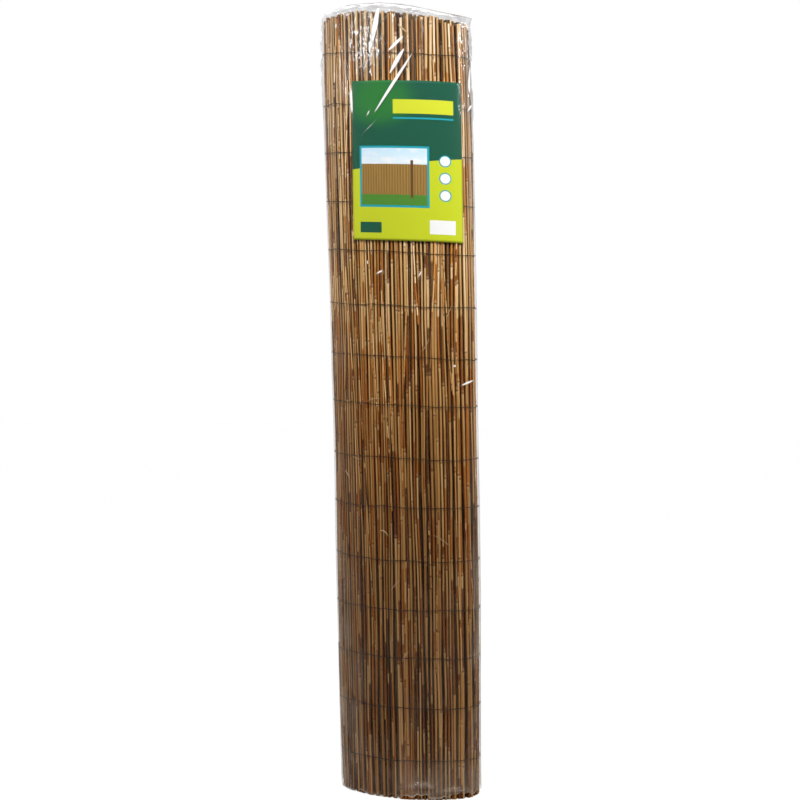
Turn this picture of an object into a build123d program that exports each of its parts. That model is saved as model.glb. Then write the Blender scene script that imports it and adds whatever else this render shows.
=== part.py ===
"""Rolled reed screen, standing on its end in a clear film sleeve, with an insert card under the film.

Frame: the roll stands on Z = 0 with +Z up. The oval's long way is X, the front is -Y.
"""
from build123d import *
from bisect import bisect_left
from math import cos, pi, sin, tau
import os

# Driving dimensions, in millimetres. The screen:
REED_LENGTH = 1500.0        # height of the screen, so height of the standing roll
MAT_LENGTH = 5000.0         # length of the screen before it is rolled
REED_WIDTH = 5.9            # one reed, across the face of the mat
MAT_THICKNESS = 5.2         # one reed, through the mat
RIDGE_DEPTH = 2.5           # from a reed's crest down to the seam beside it
REED_FACETS = 8             # flat facets around the outer half of one reed
REED_VARIATION = 0.18       # how far a seam strays from even spacing, in reed widths
TURN_CLEARANCE = 1.4        # room between one turn and the next, taken up by the hidden wire
TURN_FACETS = 24            # flat facets in one turn that lies inside the roll
CORE_WIDTH = 140.0          # the flattened hollow in the middle of the roll
CORE_DEPTH = 8.0
FREE_EDGE_ANGLE = 108.0     # where the mat's outer edge lies, at the back of the roll, in degrees

# The binding wire:
WIRE_ROWS = 15
WIRE_EDGE = 78.0            # from a cut end of the reeds to the nearest row
WIRE_DIAMETER = 1.1
WIRE_SEAT = 0.15            # clearance between the wire and the crests that it binds
WIRE_STEPS = 30             # straight runs in one turn of wire

# The insert card:
CARD_WIDTH = 210.0
CARD_HEIGHT = 297.0
CARD_THICKNESS = 0.4
CARD_SEAT = 0.25            # clearance between the card and the wire behind it
CARD_BELOW_TOP = 133.0      # from the reed tips down to the card's upper edge
CARD_ANGLE = 287.0          # where the middle of the card lies on the front, in degrees
CARD_STEPS = 14

# The film sleeve:
FILM_THICKNESS = 0.2
FILM_CLEARANCE = 0.35       # between the film and the widest wire
FILM_SIDES = 36
FILM_RIM = 9.0              # from the floor up to the sleeve's open end
FILM_SHOULDER = 3.0         # from the longest reeds up to where the film folds over
FILM_PEAK = 16.0            # from that fold up to the top of the closing seam
FILM_PEAK_OFFSET = -36.0    # where along the seam its top lies, from the middle of the roll
FILM_EAR = 6.0              # how far a folded corner of the film stands out past the roll
FILM_EAR_RISE = 2.0         # how far that corner stands above the fold

# Sizes that follow from these
TURN_PITCH = MAT_THICKNESS + TURN_CLEARANCE
CORE_HALF_WIDTH = CORE_WIDTH / 2 + MAT_THICKNESS
CORE_HALF_DEPTH = CORE_DEPTH / 2 + MAT_THICKNESS
FREE_EDGE = FREE_EDGE_ANGLE / 180.0 * pi
FINE_STEPS = 720


def measure_from_core():
    """Length wound on, turn by fine turn, going outwards from the core."""
    lengths = [0.0]
    last = None
    turn = 0.0
    while lengths[-1] < MAT_LENGTH:
        angle = tau * turn
        half_width = CORE_HALF_WIDTH + TURN_PITCH * turn
        half_depth = CORE_HALF_DEPTH + TURN_PITCH * turn
        spot = Vector(half_width * cos(angle), half_depth * sin(angle))
        if last is not None:
            lengths.append(lengths[-1] + (spot - last).length)
        last = spot
        turn += 1.0 / FINE_STEPS
    return lengths


TURNS = (len(measure_from_core()) - 1) / FINE_STEPS
HALF_WIDTH = CORE_HALF_WIDTH + TURN_PITCH * TURNS
HALF_DEPTH = CORE_HALF_DEPTH + TURN_PITCH * TURNS


def on_mat(turn, outset=0.0):
    """Point on the mat's outer face, so many turns inwards from its free edge."""
    angle = FREE_EDGE + tau * turn
    half_width = HALF_WIDTH - TURN_PITCH * turn + outset
    half_depth = HALF_DEPTH - TURN_PITCH * turn + outset
    return Vector(half_width * cos(angle), half_depth * sin(angle))


def walk_outer_turn():
    """Length along the outermost turn at each fine step from the free edge."""
    lengths = [0.0]
    for step in range(FINE_STEPS):
        stride = on_mat((step + 1) / FINE_STEPS) - on_mat(step / FINE_STEPS)
        lengths.append(lengths[-1] + stride.length)
    return lengths


OUTER_WALK = walk_outer_turn()


def turn_at(length):
    """Turn that is reached after walking a length along the outermost turn."""
    step = min(max(bisect_left(OUTER_WALK, length), 1), FINE_STEPS)
    before = OUTER_WALK[step - 1]
    share = (length - before) / (OUTER_WALK[step] - before)
    return (step - 1 + share) / FINE_STEPS


REEDS_SHOWN = round(OUTER_WALK[-1] / REED_WIDTH)
REED_PITCH = OUTER_WALK[-1] / REEDS_SHOWN


def seam(reed):
    """Turn where the seam before a reed of the outermost turn lies."""
    stray = REED_VARIATION * sin(2.4 * reed) if 0 < reed < REEDS_SHOWN else 0.0
    return turn_at((reed + stray) * REED_PITCH)


def plain_run(first, outset):
    """Corners that follow the mat inwards from a turn to its inner end, at the same angles on every turn."""
    stops = [step / TURN_FACETS for step in range(round(first * TURN_FACETS), int(TURNS * TURN_FACETS) + 1)]
    return [on_mat(stop, outset) for stop in stops] + [on_mat(TURNS, outset)]


def reed_half(reed):
    """Corners around the outer half of one reed of the outermost turn, from the seam before it."""
    middle = (seam(reed) + seam(reed + 1)) / 2
    half = (seam(reed + 1) - seam(reed)) / 2
    slimness = min(1.0, (on_mat(middle + half) - on_mat(middle - half)).length / REED_PITCH)
    corners = []
    for facet in range(REED_FACETS):
        angle = pi * facet / REED_FACETS
        corners.append(on_mat(middle - half * cos(angle), (slimness * sin(angle) - 1.0) * RIDGE_DEPTH))
    return corners


def make_reed_roll():
    """The mat wound into a flattened spiral, rounded reed by reed on its outermost turn."""
    outline = []
    for reed in range(REEDS_SHOWN):
        outline.extend(reed_half(reed))
    outline.append(on_mat(1.0, -RIDGE_DEPTH))
    outline.extend(plain_run(1.0, 0.0))
    outline.extend(plain_run(0.0, -MAT_THICKNESS)[::-1])
    return extrude(Face(Wire.make_polygon(outline)), amount=REED_LENGTH)


def band_points(first, last, steps, outset):
    """Corners of a band that runs outside the mat and nowhere cuts into its curve."""
    stride = (last - first) / steps
    lift = 1.0 / cos(pi * stride)
    points = [on_mat(first, outset)]
    for step in range(steps):
        points.append(on_mat(first + (step + 0.5) * stride, outset) * lift)
    points.append(on_mat(last, outset))
    return points


def make_band(first, last, steps, inner, outer, height):
    """A strip of constant thickness laid around the mat between two turns."""
    outside = band_points(first, last, steps, outer)
    inside = band_points(first, last, steps, inner)
    return extrude(Face(Wire.make_polygon(outside + inside[::-1])), amount=height)


def make_binding_wire(height):
    """One row of wire, once around the outermost turn from the free edge."""
    clear = WIRE_DIAMETER / (tau * HALF_DEPTH)
    ring = make_band(clear, 1.0 - clear, WIRE_STEPS, WIRE_SEAT, WIRE_SEAT + WIRE_DIAMETER, WIRE_DIAMETER)
    return Pos(0, 0, height - WIRE_DIAMETER / 2) * ring


def make_insert_card():
    """A printed sheet bent around the front of the roll, over the wires."""
    over_wire = WIRE_SEAT + WIRE_DIAMETER + CARD_SEAT
    bulge = HALF_WIDTH * (1.0 / cos(pi / WIRE_STEPS) - 1.0)
    inner = over_wire + bulge
    middle = (CARD_ANGLE - FREE_EDGE_ANGLE) / 360.0
    walked = OUTER_WALK[round(middle * FINE_STEPS)]
    first = turn_at(walked - CARD_WIDTH / 2)
    last = turn_at(walked + CARD_WIDTH / 2)
    sheet = make_band(first, last, CARD_STEPS, inner, inner + CARD_THICKNESS, CARD_HEIGHT)
    return Pos(0, 0, REED_LENGTH - CARD_BELOW_TOP - CARD_HEIGHT) * sheet


def film_ring(height, inset):
    """One ring of the sleeve's corners, all around the roll at a height."""
    wire_lift = 1.0 / cos(pi / WIRE_STEPS)
    film_lift = 1.0 / cos(pi / FILM_SIDES)
    over_wire = WIRE_SEAT + WIRE_DIAMETER
    half_width = ((HALF_WIDTH + over_wire) * wire_lift + FILM_CLEARANCE + FILM_THICKNESS) * film_lift - inset
    half_depth = ((HALF_DEPTH + over_wire) * wire_lift + FILM_CLEARANCE + FILM_THICKNESS) * film_lift - inset
    ring = []
    for side in range(FILM_SIDES):
        angle = tau * side / FILM_SIDES
        ring.append(Vector(half_width * cos(angle), half_depth * sin(angle), height))
    return ring


def film_seam(inset):
    """Points along the closing seam, over each corner of the ring below."""
    ridge = []
    ring = film_ring(0.0, inset)
    reach = ring[0].X
    for corner in ring:
        share = corner.X / reach
        away = corner.X - FILM_PEAK_OFFSET
        run = reach - FILM_PEAK_OFFSET if away > 0 else reach + FILM_PEAK_OFFSET
        rise = FILM_EAR_RISE + (FILM_PEAK - FILM_EAR_RISE) * (1.0 - abs(away / run) ** 1.5)
        height = REED_LENGTH + FILM_SHOULDER + rise - inset
        ridge.append(Vector(corner.X + FILM_EAR * share ** 9, 0.0, height))
    return ridge


def triangle(first, second, third):
    """One flat facet of the film."""
    return Face(Wire.make_polygon([first, second, third]))


def film_skin(inset):
    """Facets of one face of the sleeve, from the open rim up to the closing seam."""
    rim = film_ring(FILM_RIM, inset)
    shoulder = film_ring(REED_LENGTH + FILM_SHOULDER - inset, inset)
    ridge = film_seam(inset)
    facets = []
    for side in range(FILM_SIDES):
        after = (side + 1) % FILM_SIDES
        facets.append(Face(Wire.make_polygon([rim[side], rim[after], shoulder[after], shoulder[side]])))
        if side in (0, FILM_SIDES // 2):
            facets.append(triangle(shoulder[side], shoulder[after], ridge[side]))
            facets.append(triangle(shoulder[after], ridge[after], ridge[side]))
        else:
            facets.append(triangle(shoulder[side], shoulder[after], ridge[after]))
            facets.append(triangle(shoulder[side], ridge[after], ridge[side]))
    return facets


def make_film_sleeve():
    """The thin clear sleeve: two skins joined by a narrow rim around the open end."""
    outer = film_ring(FILM_RIM, 0.0)
    inner = film_ring(FILM_RIM, FILM_THICKNESS)
    facets = film_skin(0.0) + film_skin(FILM_THICKNESS)
    for side in range(FILM_SIDES):
        after = (side + 1) % FILM_SIDES
        facets.append(triangle(outer[side], outer[after], inner[after]))
        facets.append(triangle(outer[side], inner[after], inner[side]))
    return Solid(Shell(facets))


os.makedirs("parts", exist_ok=True)

export_step(make_reed_roll(), "parts/reed_roll.step")
WIRE_PITCH = (REED_LENGTH - 2 * WIRE_EDGE) / (WIRE_ROWS - 1)
for row in range(WIRE_ROWS):
    wire = make_binding_wire(WIRE_EDGE + row * WIRE_PITCH)
    export_step(wire, f"parts/binding_wire_{row + 1:02d}.step")
export_step(make_insert_card(), "parts/insert_card.step")
export_step(make_film_sleeve(), "parts/film_sleeve.step")
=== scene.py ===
"""Visual model of a rolled reed screen in its clear film sleeve, with an insert card under the film.

Units are metres. The roll stands on Z = 0, the long way of its oval is X and its front is -Y.
"""
from __future__ import annotations

import logging
import math
from dataclasses import dataclass
from enum import Enum
from functools import cached_property
from typing import Sequence, Union

import bmesh
import bpy
import numpy as np
from mathutils import Matrix, Vector, noise


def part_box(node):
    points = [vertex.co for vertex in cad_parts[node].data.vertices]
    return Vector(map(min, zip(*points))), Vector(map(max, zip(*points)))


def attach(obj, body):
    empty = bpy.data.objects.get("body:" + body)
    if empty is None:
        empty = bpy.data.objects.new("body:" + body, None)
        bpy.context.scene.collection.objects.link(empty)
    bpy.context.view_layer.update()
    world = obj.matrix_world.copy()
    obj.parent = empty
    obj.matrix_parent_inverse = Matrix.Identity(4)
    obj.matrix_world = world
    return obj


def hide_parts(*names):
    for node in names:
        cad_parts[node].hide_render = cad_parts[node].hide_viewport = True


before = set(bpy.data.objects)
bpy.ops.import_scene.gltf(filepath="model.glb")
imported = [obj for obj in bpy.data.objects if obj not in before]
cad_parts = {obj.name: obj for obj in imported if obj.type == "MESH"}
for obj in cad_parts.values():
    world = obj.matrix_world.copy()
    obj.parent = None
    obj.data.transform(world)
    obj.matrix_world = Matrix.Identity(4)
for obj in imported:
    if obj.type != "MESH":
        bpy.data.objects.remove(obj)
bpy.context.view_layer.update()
LOG = logging.getLogger("reed_roll")

Colour = tuple[float, float, float, float]
Area = tuple[float, float, float, float]
Triple = tuple[float, float, float]
Number = Union["Value", float, int]


class Value:
    """A value in a node tree, so that maths on it reads as a Python expression."""

    def __init__(self, pad: Pad, socket: bpy.types.NodeSocket) -> None:
        """Wraps an output socket of a tree."""
        self.pad = pad
        self.socket = socket

    def math(self, operation: str, other: Number = 0.0, flip: bool = False) -> Value:
        """Adds one Math node.

        Args:
            operation: The Math node's operation.
            other: The second operand.
            flip: Puts the second operand first.

        Returns:
            The node's result.
        """
        pair = (other, self) if flip else (self, other)
        return self.pad.get("ShaderNodeMath", {"operation": operation}, {0: pair[0], 1: pair[1]})

    def __add__(self, other: Number) -> Value:
        """Sum."""
        return self.math("ADD", other)

    __radd__ = __add__

    def __sub__(self, other: Number) -> Value:
        """Difference."""
        return self.math("SUBTRACT", other)

    def __rsub__(self, other: Number) -> Value:
        """Difference from a number."""
        return self.math("SUBTRACT", other, flip=True)

    def __mul__(self, other: Number) -> Value:
        """Product."""
        return self.math("MULTIPLY", other)

    __rmul__ = __mul__

    def __truediv__(self, other: Number) -> Value:
        """Quotient."""
        return self.math("DIVIDE", other)

    def __rtruediv__(self, other: Number) -> Value:
        """Quotient of a number."""
        return self.math("DIVIDE", other, flip=True)

    def __pow__(self, other: Number) -> Value:
        """Power."""
        return self.math("POWER", other)

    def below(self, other: Number) -> Value:
        """One where the value is below another, else zero."""
        return self.math("LESS_THAN", other)

    def lower(self, other: Number) -> Value:
        """The lower of two values."""
        return self.math("MINIMUM", other)

    def upper(self, other: Number) -> Value:
        """The higher of two values."""
        return self.math("MAXIMUM", other)

    def rise(self, low: float, high: float) -> Value:
        """A smooth step from zero at low to one at high."""
        settings = {"interpolation_type": "SMOOTHSTEP"}
        if low <= high:
            return self.pad.get("ShaderNodeMapRange", settings, {0: self, 1: low, 2: high})
        return self.pad.get("ShaderNodeMapRange", settings, {0: self, 1: high, 2: low, 3: 1.0, 4: 0.0})


class Pad:
    """A node tree that is written node by node."""

    def __init__(self, tree: bpy.types.NodeTree) -> None:
        """Writes on a tree."""
        self.tree = tree

    def feed(self, socket: bpy.types.NodeSocket, value: object) -> None:
        """Links a value to an input socket, or sets a plain number, colour or name there."""
        if isinstance(value, Value):
            self.tree.links.new(value.socket, socket)
        else:
            socket.default_value = value

    def node(self, kind: str, settings: dict | None = None, values: dict | None = None) -> bpy.types.Node:
        """Adds a node.

        Args:
            kind: The node's type.
            settings: Its properties, set first. "stops" are a colour ramp's places and colours.
            values: Its inputs by name or number.

        Returns:
            The node.
        """
        node = self.tree.nodes.new(kind)
        for name, value in (settings or {}).items():
            if name == "stops":
                ramp = node.color_ramp
                while len(ramp.elements) < len(value):
                    ramp.elements.new(0.5)
                for element, (place, colour) in zip(ramp.elements, value):
                    element.position = place
                    element.color = colour
            else:
                setattr(node, name, value)
        for key, value in (values or {}).items():
            self.feed(node.inputs[key], value)
        return node

    def get(self, kind: str, settings: dict | None = None, values: dict | None = None,
            key: int | str = 0) -> Value:
        """Adds a node and returns one of its outputs."""
        return Value(self, self.node(kind, settings, values).outputs[key])

    def combine(self, x: Number, y: Number, z: Number) -> Value:
        """A vector from three numbers."""
        return self.get("ShaderNodeCombineXYZ", None, {0: x, 1: y, 2: z})

    def split(self, vector: Value) -> tuple[Value, Value, Value]:
        """The three numbers of a vector."""
        node = self.node("ShaderNodeSeparateXYZ", None, {0: vector})
        return Value(self, node.outputs[0]), Value(self, node.outputs[1]), Value(self, node.outputs[2])

    def blend(self, factor: Number, first: object, second: object, mode: str = "MIX") -> Value:
        """Mixes two colours by a factor."""
        settings = {"data_type": "RGBA", "blend_type": mode}
        return self.get("ShaderNodeMix", settings, {0: factor, 6: first, 7: second}, 2)

    def ramp(self, factor: Value, stops: Sequence[tuple[float, Colour]]) -> Value:
        """A colour from a ramp of stops."""
        return self.get("ShaderNodeValToRGB", {"stops": stops}, {0: factor})

    def cloud(self, vector: Value, scale: float, detail: float = 2.0, rough: float = 0.5) -> Value:
        """A noise value from 0 to 1."""
        return self.get("ShaderNodeTexNoise", None, {"Vector": vector, "Scale": scale, "Detail": detail,
                                                     "Roughness": rough})

    def grain(self, vector: Value, scale: Triple, detail: float, rough: float) -> Value:
        """A noise value from 0 to 1, with its own scale along each axis."""
        stretched = self.get("ShaderNodeMapping", None, {"Vector": vector, "Scale": scale})
        return self.cloud(stretched, 1.0, detail, rough)

    def here(self) -> Value:
        """A material's Object coordinates."""
        return self.get("ShaderNodeTexCoord", key="Object")

    def mark(self, name: str, key: str = "Fac") -> Value:
        """A value that the mesh carries under a name."""
        return self.get("ShaderNodeAttribute", {"attribute_name": name}, key=key)

    def dimmed(self, colour: Value, share: Value) -> Value:
        """A colour times a number."""
        return self.blend(1.0, colour, self.combine(share, share, share), "MULTIPLY")

    def bump(self, height: Value, strength: float, distance: float) -> Value:
        """A normal that follows a height."""
        values = {"Strength": strength, "Distance": distance, "Height": height}
        return self.get("ShaderNodeBump", None, values)

    def surface(self, values: dict[str, object]) -> Value:
        """A Principled shader."""
        return self.get("ShaderNodeBsdfPrincipled", None, values)

    def layered(self, factor: Value, under: Value, over: Value) -> Value:
        """One shader over another, by a factor."""
        return self.get("ShaderNodeMixShader", None, {0: factor, 1: under, 2: over})


class Growth(Pad):
    """A Geometry Nodes tree with named inputs, run once on a line of points."""

    def __init__(self, name: str, inputs: dict[str, str]) -> None:
        """Starts a tree.

        Args:
            name: The tree's name.
            inputs: Each input's name and the kind of its socket.
        """
        super().__init__(bpy.data.node_groups.new(name, "GeometryNodeTree"))
        face = self.tree.interface
        face.new_socket("Geometry", in_out="INPUT", socket_type="NodeSocketGeometry")
        face.new_socket("Geometry", in_out="OUTPUT", socket_type="NodeSocketGeometry")
        for label, kind in inputs.items():
            face.new_socket(label, in_out="INPUT", socket_type=f"NodeSocket{kind}")
        self.entry = self.tree.nodes.new("NodeGroupInput")
        self.exit = self.tree.nodes.new("NodeGroupOutput")

    def given(self, label: str) -> Value:
        """One of the tree's inputs."""
        return Value(self, self.entry.outputs[label])

    def line(self) -> Value:
        """The line of points that the tree is run on, as a curve."""
        return self.get("GeometryNodeMeshToCurve", None, {"Mesh": self.given("Geometry")})

    def chance(self, low: Number, high: Number, salt: int) -> Value:
        """A random number for each point, fixed by the tree's seed and a salt."""
        values = {2: low, 3: high, 8: self.given("Seed") + salt}
        return self.get("FunctionNodeRandomValue", {"data_type": "FLOAT"}, values, 1)

    def store(self, geometry: Value, name: str, value: Value, kind: str = "FLOAT") -> Value:
        """Keeps a value on the points under a name."""
        settings = {"data_type": kind, "domain": "POINT"}
        return self.get("GeometryNodeStoreNamedAttribute", settings, {"Geometry": geometry, "Name": name,
                                                                      "Value": value})

    def kept(self, name: str, kind: str = "FLOAT") -> Value:
        """A value that was kept under a name."""
        return self.get("GeometryNodeInputNamedAttribute", {"data_type": kind}, {"Name": name})

    def vector(self, name: str) -> Value:
        """A vector that was kept under a name."""
        return self.kept(name, "FLOAT_VECTOR")

    def spot(self) -> Value:
        """Where each point is."""
        return self.get("GeometryNodeInputPosition")

    def resample(self, curve: Value, mode: str, amount: Number) -> Value:
        """A curve cut into a COUNT of points, or into steps of a LENGTH."""
        return self.get("GeometryNodeResampleCurve", {"mode": mode}, {"Curve": curve, mode.title(): amount})

    def rod(self, start: object, end: object, count: Number) -> Value:
        """A straight curve with a number of points."""
        ends = {"Start": start, "End": end}
        return self.resample(self.get("GeometryNodeCurvePrimitiveLine", {"mode": "POINTS"}, ends), "COUNT", count)

    def scatter(self, points: Value, shape: Value, **values: Value) -> Value:
        """A copy of a shape on every point."""
        return self.get("GeometryNodeInstanceOnPoints", None, {"Points": points, "Instance": shape, **values})

    def realized(self, geometry: Value) -> Value:
        """Copies made into mesh or curve of their own."""
        return self.get("GeometryNodeRealizeInstances", None, {"Geometry": geometry})

    def joined(self, *parts: Value) -> Value:
        """Several parts as one."""
        node = self.node("GeometryNodeJoinGeometry")
        for part in parts:
            self.tree.links.new(part.socket, node.inputs[0])
        return Value(self, node.outputs[0])

    def place(self, geometry: Value, key: str, vector: Value) -> Value:
        """Sets positions, or offsets them."""
        return self.get("GeometryNodeSetPosition", None, {"Geometry": geometry, key: vector})

    def tube(self, curve: Value, sides: Number, radius: Number, scale: Number, caps: bool) -> Value:
        """A round tube along a curve.

        Args:
            curve: The curve that it follows.
            sides: Faces around it.
            radius: Its radius.
            scale: A factor on the radius, which may change along the curve.
            caps: Closes its ends.

        Returns:
            The tube's mesh.
        """
        ring = self.get("GeometryNodeCurvePrimitiveCircle", {"mode": "RADIUS"},
                        {"Resolution": sides, "Radius": radius})
        return self.get("GeometryNodeCurveToMesh", None, {"Curve": curve, "Profile Curve": ring,
                                                          "Scale": scale, "Fill Caps": caps})

    def deliver(self, geometry: Value) -> None:
        """Smooths all but flat ends, dresses the mesh and ends the tree."""
        up = self.split(self.get("GeometryNodeInputNormal"))[2]
        side = up.math("ABSOLUTE").below(0.9)
        smooth = self.get("GeometryNodeSetShadeSmooth", {"domain": "FACE"},
                          {"Geometry": geometry, "Shade Smooth": side})
        dressed = self.get("GeometryNodeSetMaterial", None, {"Geometry": smooth,
                                                             "Material": self.given("Finish")})
        self.feed(self.exit.inputs[0], dressed)

    def run(self, name: str, points: Sequence[Vector], **inputs: object) -> bpy.types.Object:
        """Runs the tree on a line of points.

        Args:
            name: The new piece's name.
            points: The line.
            inputs: The tree's inputs, with spaces in their names as underscores.

        Returns:
            The piece, as a plain mesh.
        """
        seed_mesh = bpy.data.meshes.new(name + "_line")
        seed_mesh.from_pydata(points, [(i, i + 1) for i in range(len(points) - 1)], [])
        host = add_object(name + "_line", seed_mesh)
        modifier = host.modifiers.new("growth", "NODES")
        modifier.node_group = self.tree
        for item in self.tree.interface.items_tree:
            key = item.name.replace(" ", "_")
            if item.in_out == "INPUT" and key in inputs:
                modifier[item.identifier] = inputs[key]
        graph = bpy.context.evaluated_depsgraph_get()
        mesh = bpy.data.meshes.new_from_object(host.evaluated_get(graph), depsgraph=graph)
        host.modifiers.remove(modifier)
        bpy.data.objects.remove(host)
        bpy.data.meshes.remove(seed_mesh)
        mesh.name = name
        return add_object(name, mesh)


def add_object(name: str, data: bpy.types.ID | None) -> bpy.types.Object:
    """Adds an object to the scene."""
    made = bpy.data.objects.new(name, data)
    bpy.context.scene.collection.objects.link(made)
    return made


def new_material(name: str) -> tuple[bpy.types.Material, Pad]:
    """An empty node material.

    Args:
        name: The material's name.

    Returns:
        The material, and the pad to write its nodes on.
    """
    material = bpy.data.materials.new(name)
    material.use_nodes = True
    material.node_tree.nodes.clear()
    return material, Pad(material.node_tree)


def outwards(mesh: bpy.types.Mesh) -> None:
    """Turns all faces of a closed mesh outwards."""
    work = bmesh.new()
    work.from_mesh(mesh)
    bmesh.ops.recalc_face_normals(work, faces=work.faces)
    work.to_mesh(mesh)
    work.free()


def show(pad: Pad, shader: Value) -> None:
    """Ends a material with the shader that it shows."""
    pad.node("ShaderNodeOutputMaterial", None, {"Surface": shader})


def grey(value: float) -> Colour:
    """A grey colour."""
    return (value, value, value, 1.0)


@dataclass(frozen=True)
class Winding:
    """The flattened spiral that the mat is wound on, as its solid has it."""

    mat_length: float = 5.0
    thickness: float = 0.0052
    clearance: float = 0.0014
    core_width: float = 0.140
    core_depth: float = 0.008
    free_edge: float = math.radians(108.0)
    bulge: float = 0.0028
    tip_fall: float = 0.031
    fall_start: float = 0.06
    fall_run: float = 0.20
    fall_power: float = 1.5
    fine_steps: int = 720

    @property
    def pitch(self) -> float:
        """From one turn to the next."""
        return self.thickness + self.clearance

    @cached_property
    def turns(self) -> float:
        """Turns that use up the length of the mat."""
        wide = self.core_width / 2 + self.thickness
        deep = self.core_depth / 2 + self.thickness
        length, step, last = 0.0, 0, (wide, 0.0)
        while length < self.mat_length:
            step += 1
            grown = self.pitch * step / self.fine_steps
            angle = math.tau * step / self.fine_steps
            spot = ((wide + grown) * math.cos(angle), (deep + grown) * math.sin(angle))
            length += math.dist(spot, last)
            last = spot
        return step / self.fine_steps

    def point(self, turn: float, outset: float = 0.0) -> Vector:
        """A point on the mat's outer face, so many turns inwards from its free edge."""
        angle = self.free_edge + math.tau * turn
        left = self.pitch * (self.turns - turn) + self.thickness + outset
        fuller = self.bulge * max(0.0, math.cos(angle)) ** 3
        return Vector(((self.core_width / 2 + left) * math.cos(angle) + fuller,
                       (self.core_depth / 2 + left) * math.sin(angle), 0.0))

    def fall(self, x: float) -> float:
        """How far the reed tips at a place along X lie below the longest ones."""
        return self.tip_fall * max(0.0, (x + self.fall_start) / self.fall_run) ** self.fall_power

    def run(self, first: float, last: float, outset: float, per_turn: int = 144) -> list[Vector]:
        """Points along the mat from one turn to another."""
        count = max(2, round((last - first) * per_turn))
        return [self.point(first + (last - first) * i / count, outset) for i in range(count + 1)]


@dataclass(frozen=True)
class Settling:
    """How a roll that stands on end slackens: its two ends swell a little, by height."""

    reach: float = 0.15
    heights: Sequence[float] = (0.00, 0.10, 0.25, 0.40, 0.70, 0.95, 1.10, 1.25, 1.40, 1.53)
    left: Sequence[float] = (0.000, 0.002, 0.003, 0.003, 0.001, 0.003, 0.006, 0.008, 0.008, 0.006)
    right: Sequence[float] = (0.000, 0.002, 0.005, 0.0075, 0.0085, 0.0090, 0.0090, 0.0075, 0.0050, 0.001)

    def push(self, points: np.ndarray) -> np.ndarray:
        """How far places move along X."""
        x, z = points[:, 0], points[:, 2]
        right = np.clip(x / self.reach, 0.0, 1.0) ** 2 * np.interp(z, self.heights, self.right)
        return right - np.clip(-x / self.reach, 0.0, 1.0) ** 2 * np.interp(z, self.heights, self.left)

    def moved(self, points: np.ndarray) -> np.ndarray:
        """Places after the roll has settled."""
        settled = points.copy()
        settled[:, 0] += self.push(points)
        return settled

    def settle(self, mesh: bpy.types.Mesh) -> None:
        """Moves a mesh, and the reed axes that it carries, as the roll settles."""
        flat = np.empty(len(mesh.vertices) * 3, dtype=np.float32)
        mesh.vertices.foreach_get("co", flat)
        points = flat.reshape(-1, 3)
        push = self.push(points)
        points[:, 0] += push
        mesh.vertices.foreach_set("co", points.ravel())
        axes = mesh.attributes.get("reed_axis")
        if axes is not None:
            values = np.empty(len(mesh.vertices) * 3, dtype=np.float32)
            axes.data.foreach_get("vector", values)
            values[0::3] += push
            axes.data.foreach_set("vector", values)
        mesh.update()


@dataclass(frozen=True)
class PhotoView:
    """The camera of the photograph, as fitted to the roll's outline and its rows of wire."""

    distance: float = 2.8
    height: float = 0.93
    azimuth: float = math.radians(20.0)
    pitch: float = math.radians(3.4)
    roll: float = math.radians(1.16)
    focal_px: float = 1447.0
    size_px: float = 800.0
    centre_px: float = 403.2
    sensor: float = 36.0

    def axes(self) -> tuple[Vector, Vector, Vector, Vector]:
        """The camera's place and its right, up and forward directions."""
        place = Vector((math.sin(self.azimuth) * self.distance, -math.cos(self.azimuth) * self.distance,
                        self.height))
        level = Vector((-math.sin(self.azimuth), math.cos(self.azimuth), 0.0))
        forward = level * math.cos(self.pitch) - Vector((0, 0, 1)) * math.sin(self.pitch)
        right = forward.cross(Vector((0, 0, 1))).normalized()
        up = right.cross(forward)
        turned_right = right * math.cos(self.roll) - up * math.sin(self.roll)
        turned_up = up * math.cos(self.roll) + right * math.sin(self.roll)
        return place, turned_right, turned_up, forward

    def pixels(self, points: np.ndarray) -> np.ndarray:
        """Where points fall in the photograph.

        Args:
            points: Places, one to a row.

        Returns:
            Pixel columns and rows, one pair to a row.
        """
        place, right, up, forward = (np.array(v) for v in self.axes())
        away = points - place
        depth = away @ forward
        across = away @ right / depth * self.focal_px + self.centre_px
        down = self.size_px / 2 - away @ up / depth * self.focal_px
        return np.stack([across, down], axis=1)

    def place_camera(self) -> None:
        """Adds the scene's camera."""
        place, right, up, forward = self.axes()
        data = bpy.data.cameras.new("camera")
        data.sensor_width = self.sensor
        data.lens = self.sensor * self.focal_px / self.size_px
        data.shift_x = (self.size_px / 2 - self.centre_px) / self.size_px
        camera = add_object("camera", data)
        turn = Matrix((right, up, -forward)).transposed()
        camera.matrix_world = Matrix.Translation(place) @ turn.to_4x4()
        bpy.context.scene.camera = camera


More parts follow.
